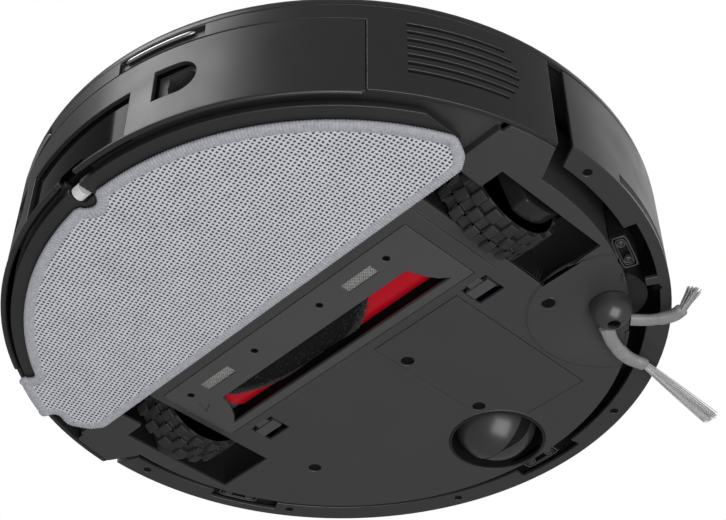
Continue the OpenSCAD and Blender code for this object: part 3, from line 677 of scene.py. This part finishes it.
columns, rows = 96, 30
field, field_faces = [], []
for i in range(columns + 1):
    x = -0.066 + 0.145 * i / columns
    field += [round_roller(x, band_start(x) + 150 * j / rows, 0.0155) for j in range(rows + 1)]
for i in range(columns):
    for j in range(rows):
        a = i * (rows + 1) + j
        field_faces.append((a, a + 1, a + rows + 2, a + rows + 1))
bed_and_shade_mesh = bpy.data.meshes.new("bristle_bed_and_shade")
bed_and_shade_mesh.from_pydata(field, [], field_faces)
thicken(bed_and_shade_mesh, 0.0002)
# The bed is a thin black sheet over the whole bristle field: partly the bristles' own black base, partly painted shade
# where the roller lies deep in the brush mouth.
bed_and_shade_black = new_material("bristle_base_and_painted_shade", IOR=1.5, Specular_IOR_Level=0.2)
two_tone(bed_and_shade_black, "#050505", "#111112", 900)
grain(bed_and_shade_black, 0.0008, 0.0002, 0.8)
finished("bristle_bed_and_shade", bed_and_shade_mesh, "main_brush", bed_and_shade_black, "bristle_nylon", edge=50)
field, field_faces = [], []
for k in range(5200):
    x = draw.uniform(-0.066, 0.079)
    turn = band_start(x) + (draw.triangular(-5, 17, 2) if k % 5 else draw.uniform(0, 150))
    root = round_roller(x, turn, 0.0150)
    tip = round_roller(x + draw.uniform(-0.001, 0.001), turn + draw.uniform(-7, 7), draw.uniform(0.0160, 0.0166))
    side = Vector((0.00016, 0, 0))
    lift = (tip - root).cross(side).normalized() * 0.00016
    first = len(field)
    field += [root + side, root - side + lift, root - side - lift, tip]
    field_faces += [(first, first + 1, first + 3), (first + 1, first + 2, first + 3), (first + 2, first, first + 3),
                    (first, first + 2, first + 1)]
bristle_mesh = bpy.data.meshes.new("bristle_band")
bristle_mesh.from_pydata(field, [], field_faces)
finished("bristle_band", bristle_mesh, "main_brush", bristle_black, "bristle_nylon", "brush_bristles", edge=50)


# ---- brush cover ----
# A satin ABS plate round the roller's mouth, held by two sliding latches and four screws.
# Two windows of fine woven steel mesh are let into it, and a smooth shield stands at each end of the mouth.

cover_abs = moulded_abs("cover_abs", "#4a4a4b", "#505051", 0.38, 0.0006, 0.00001)
soften("brush_cover", 0.0004, "cover_frame", "cover", cover_abs, "cover_abs")
soften("left_cover_latch", 0.0003, "left_latch_tab", "left_latch", cover_abs, "cover_abs")
soften("right_cover_latch", 0.0003, "right_latch_tab", "right_latch", cover_abs, "cover_abs")
shield_abs = moulded_abs("end_shield_abs", "#555556", "#5d5d5e", 0.25, 0.0006, 0.00001)
dress("brush_end_caps", shield_abs)


def weave(material, pitch, slant, dark, light, depth):
    """An open plain weave of round yarns, pitch metres apart, turned by slant: pale strands, and dark gaps between
    them that are painted shade in the openings.
    """
    place = add_node(material, "TexCoord").outputs["Object"]
    slack = add_node(material, "TexNoise", {"Scale": 0.6 / pitch, "Detail": 1}, {"Vector": place})
    sway = add_node(material, "VectorMath", {"operation": "MULTIPLY_ADD", 1: (pitch * 0.35,) * 3},
                    {0: slack.outputs["Color"], 2: place})
    turned = add_node(material, "VectorRotate", {"Angle": slant}, {"Vector": sway.outputs["Vector"]})
    split = add_node(material, "SeparateXYZ", links={"Vector": turned.outputs["Vector"]})
    waves = []
    for axis in "XY":
        phase = add_node(material, "Math", {"operation": "MULTIPLY", 1: 2 * math.pi / pitch}, {0: split.outputs[axis]})
        wave = add_node(material, "Math", {"operation": "SINE"}, {0: phase.outputs[0]})
        waves.append(add_node(material, "MapRange", {"From Min": -1.0, "From Max": 1.0}, {"Value": wave.outputs[0]}))
    hole = add_node(material, "Math", {"operation": "MULTIPLY"},
                    {0: waves[0].outputs["Result"], 1: waves[1].outputs["Result"]})
    fuzz = add_node(material, "TexNoise", {"Scale": 2.6 / pitch, "Detail": 3}, {"Vector": place})
    broken = add_node(material, "Math", {"operation": "MULTIPLY_ADD", 1: 0.9},
                      {0: fuzz.outputs["Fac"], 2: hole.outputs[0]})
    yarn = add_node(material, "MapRange", {"From Min": 0.6, "From Max": 1.08, "To Min": 1.0, "To Max": 0.0},
                    {"Value": broken.outputs[0]})
    patch = add_node(material, "TexNoise", {"Scale": 60, "Detail": 3}, {"Vector": place})
    tone = add_node(material, "MapRange", {"To Min": 0.85, "To Max": 1.1}, {"Value": patch.outputs["Fac"]})
    # dark is the painted shade in the openings between the yarns; light is the yarn's own colour
    mix = add_node(material, "Mix", {"data_type": "RGBA", 6: srgb(dark), 7: srgb(light)}, {0: yarn.outputs["Result"]})
    shaded = add_node(material, "Mix", {"data_type": "RGBA", "blend_type": "MULTIPLY", 0: 1.0},
                      {6: mix.outputs[2], 7: tone.outputs["Result"]})
    link(material, "Base Color", shaded.outputs[2])
    bump = add_node(material, "Bump", {"Strength": 0.7, "Distance": depth}, {"Height": yarn.outputs["Result"]})
    link(material, "Normal", bump.outputs["Normal"])


woven_steel = new_material("woven_steel", Metallic=0.7, Roughness=0.45)
# 3b3b39 is painted shade in the mesh's openings, not the steel's colour
weave(woven_steel, 0.0011, math.radians(45), "#3b3b39", "#c9c9c4", 0.0003)
dress("cover_grilles", woven_steel)


# ---- mop ----
# A D-shaped moulded bracket that carries a woven microfibre pad and a small white acetal roller.
# The pad is cut to shape, stitched along one line, and overlocked all round.

bracket_abs = moulded_abs("bracket_abs", "#2a2a2b", "#2f2f30", 0.4)
soften("mop_bracket", 0.0005, "pad_bracket", "mop", bracket_abs, "bracket_abs")
microfibre = new_material("woven_microfibre", IOR=1.47, Roughness=0.9, Sheen_Weight=0.2, Sheen_Roughness=0.5)
# 3a3b40 is painted shade in the openings between the cloth's yarns
weave(microfibre, 0.0022, math.radians(12), "#3a3b40", "#dedfe6", 0.0006)


def border(node, height):
    """The outline, in order, of the flat face of a CAD node at that height."""
    shell = bmesh.new()
    shell.from_mesh(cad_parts[node].data)
    bmesh.ops.remove_doubles(shell, verts=shell.verts, dist=0.00001)
    flat = [f for f in shell.faces if all(abs(v.co.z - height) < 0.0001 for v in f.verts)]
    uses = {}
    for face in flat:
        for edge in face.edges:
            uses[edge] = uses.get(edge, 0) + 1
    rim = {e for e, n in uses.items() if n == 1}
    edge = min(rim, key=lambda e: e.index)
    vert, loop = edge.verts[0], []
    while rim:
        rim.discard(edge)
        loop.append(vert.co.copy())
        vert = edge.other_vert(vert)
        edge = next((e for e in vert.link_edges if e in rim), None)
        if edge is None:
            break
    shell.free()
    return loop


def even_steps(loop, step):
    """The closed loop again, with its points step apart."""
    sides = [(a, b, (b - a).length) for a, b in zip(loop, loop[1:] + loop[:1])]
    total = sum(side[2] for side in sides)
    count = round(total / step)
    points, passed, k = [], 0.0, 0
    for i in range(count):
        at = total * i / count
        while at > passed + sides[k][2]:
            passed += sides[k][2]
            k += 1
        a, b, length = sides[k]
        points.append(a.lerp(b, (at - passed) / length))
    return points


def relaxed(loop, times):
    """The loop with its corners eased."""
    for _ in range(times):
        loop = [(a + b * 2 + c) / 4 for a, b, c in zip(loop[-1:] + loop[:-1], loop, loop[1:] + loop[:1])]
    return loop


def set_in(loop, distance):
    """The loop moved towards its own inside."""
    area = sum(a.x * b.y - b.x * a.y for a, b in zip(loop, loop[1:] + loop[:1]))
    turn = math.copysign(1, area)
    moved = []
    for a, b, c in zip(loop[-1:] + loop[:-1], loop, loop[1:] + loop[:1]):
        along = (c - a).normalized()
        moved.append(b + Vector((-along.y, along.x, 0)) * turn * distance)
    return moved


pad_low, pad_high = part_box("mop_pad")
hem_width = 0.0062
stitch_pitch, edge_step = 0.0016, 0.0004
pad_edge = relaxed(even_steps(border("mop_pad", pad_low.z), edge_step), 12)
hem_line = relaxed(set_in(pad_edge, hem_width / 2), 30)


def hem_outline(i):
    """Overlocked edge: the band swells and pinches at each stitch that wraps it."""
    stitch = 0.00022 * math.sin(2 * math.pi * i * edge_step / stitch_pitch)
    return oval(hem_width + stitch, 0.0034 + 2 * stitch, 12, 0.75)


hem_thread = new_material("overlock_thread", IOR=1.47, Roughness=0.85, Sheen_Weight=0.2, Sheen_Roughness=0.5)
two_tone(hem_thread, "#8e9096", "#c9cad0", 700, 2)
hem_height = Vector((0, 0, pad_low.z + 0.0019))
hem_path = [Vector((p.x, p.y, 0)) + hem_height for p in hem_line]
finished("pad_hem", sweep("pad_hem", hem_path, hem_outline, closed=True), "mop", hem_thread, "mop_fabric", edge=60)

inner = even_steps(relaxed(set_in(pad_edge, hem_width - 0.0008), 30), 0.002)
step = 0.002
grid = []
edges = [(i, (i + 1) % len(inner)) for i in range(len(inner))]


def within(x, y, loop):
    """True if the point lies inside the loop."""
    inside = False
    for a, b in zip(loop, loop[1:] + loop[:1]):
        if (a.y > y) != (b.y > y) and x < a.x + (y - a.y) / (b.y - a.y) * (b.x - a.x):
            inside = not inside
    return inside


coarse = even_steps(inner, 0.004)
for ix in range(int((pad_high.x - pad_low.x) / step)):
    for iy in range(int((pad_high.y - pad_low.y) / step)):
        x, y = pad_low.x + (ix + 0.5 * (iy % 2)) * step, pad_low.y + iy * step
        if within(x, y, coarse):
            grid.append(Vector((x, y)))
flat_points, _, triangles, *_ = delaunay_2d_cdt([p.to_2d() for p in inner] + grid, edges, [], 1, 0.0004)
draw = random.Random(11)
swell = [(draw.uniform(20, 60), draw.uniform(20, 60), draw.uniform(0, 6.3)) for _ in range(5)]


def puff(x, y):
    """How far the cloth stands below its backing: a slow quilted unevenness and one sewn ridge."""
    wander = sum(math.sin(a * x + b * y + c) for a, b, c in swell) / len(swell)
    ridge = math.exp(-((y - 0.105) / 0.0014) ** 2)
    return 0.00012 * wander + 0.0006 * ridge


cloth_low = [Vector((p.x, p.y, pad_low.z + 0.0007 - puff(p.x, p.y))) for p in flat_points]
cloth_high = [Vector((p.x, p.y, pad_high.z - 0.0001)) for p in flat_points]
count = len(flat_points)
cloth_mesh = bpy.data.meshes.new("mop_cloth")
directed = [(a, b) for t in triangles for a, b in zip(t, t[1:] + t[:1])]
paired = set(directed)
rim = [(a, b) for a, b in directed if (b, a) not in paired]
cloth_faces = [t[::-1] for t in triangles] + [[i + count for i in t] for t in triangles]
cloth_faces += [(a, b, b + count, a + count) for a, b in rim]
cloth_mesh.from_pydata(cloth_low + cloth_high, [], cloth_faces)
cloth = finished("mop_cloth", cloth_mesh, "mop", microfibre, "mop_fabric", "mop_pad", edge=60)
white_acetal = moulded_abs("white_acetal", "#e2e2e0", "#ececea", 0.3)
dress("guide_roller", white_acetal)


# ---- floor sensors ----
# Smoky infrared lenses, two in each of three black trays under the bumper's edge.
# Each tray has a double rim, and each lens sits in a ring of its own.

lens_clear = new_material("infrared_lens", IOR=1.49, Coat_Weight=0.5, Coat_Roughness=0.03)
two_tone(lens_clear, "#3a333b", "#463e47", 300)
grain(lens_clear, 0.004, 0.00001, 0.12, 0.02)
rims, rings, lenses = [], [], []
for turn in (-159, -91.5, -21):
    a = math.radians(turn)
    outward, along = Vector((math.cos(a), math.sin(a), 0)), Vector((-math.sin(a), math.cos(a), 0))
    seat = outward * 0.1577 + Vector((0, 0, 0.0127))
    for length, width, size in ((0.0225, 0.0078, 0.0007), (0.0190, 0.0052, 0.0005)):
        corners = oval(length, width, 40, 0.4)
        path = [seat + along * u + outward * v for u, v in corners]
        rims.append(sweep("rim", path, lambda i, t=size: oval(t, t, 8), closed=True))
    for shift in (-0.0062, 0.0062):
        spot = seat + along * shift
        rings.append(lathe("ring", [(0.0017, 0.0006), (0.0018, -0.0002), (0.0022, -0.0003), (0.0023, 0.0010),
                                    (0.0017, 0.0006)], spot, sides=24))
        lenses.append(lathe("lens", [(0.0, -0.0001), (0.0008, 0.0), (0.0014, 0.0003), (0.0017, 0.0008), (0.0017, 0.0030),
                                     (0.0, 0.0030)], spot, sides=24))
finished("sensor_rims", joined("sensor_rims", rims + rings), "body", cover_abs, "inner_abs", edge=60)
finished("sensor_lenses", joined("sensor_lenses", lenses), "body", lens_clear, "lens", "cliff_lenses", edge=60)


# ---- turret and buttons ----
# The laser turret stands on the deck with a flat cap on three posts; two light buttons are in front of it.

soften("lidar_base", 0.0004, "turret_base", "body", deck_abs, "deck_abs")
soften("lidar_cap", 0.0004, "turret_cap", "body", deck_abs, "deck_abs")
button_abs = new_material("light_button_abs", IOR=1.54)
two_tone(button_abs, "#d4d4d3", "#dededd", 80)
grain(button_abs, 0.003, 0.00001, 0.22, 0.03)
dress("power_button", button_abs)
dress("dock_button", button_abs)
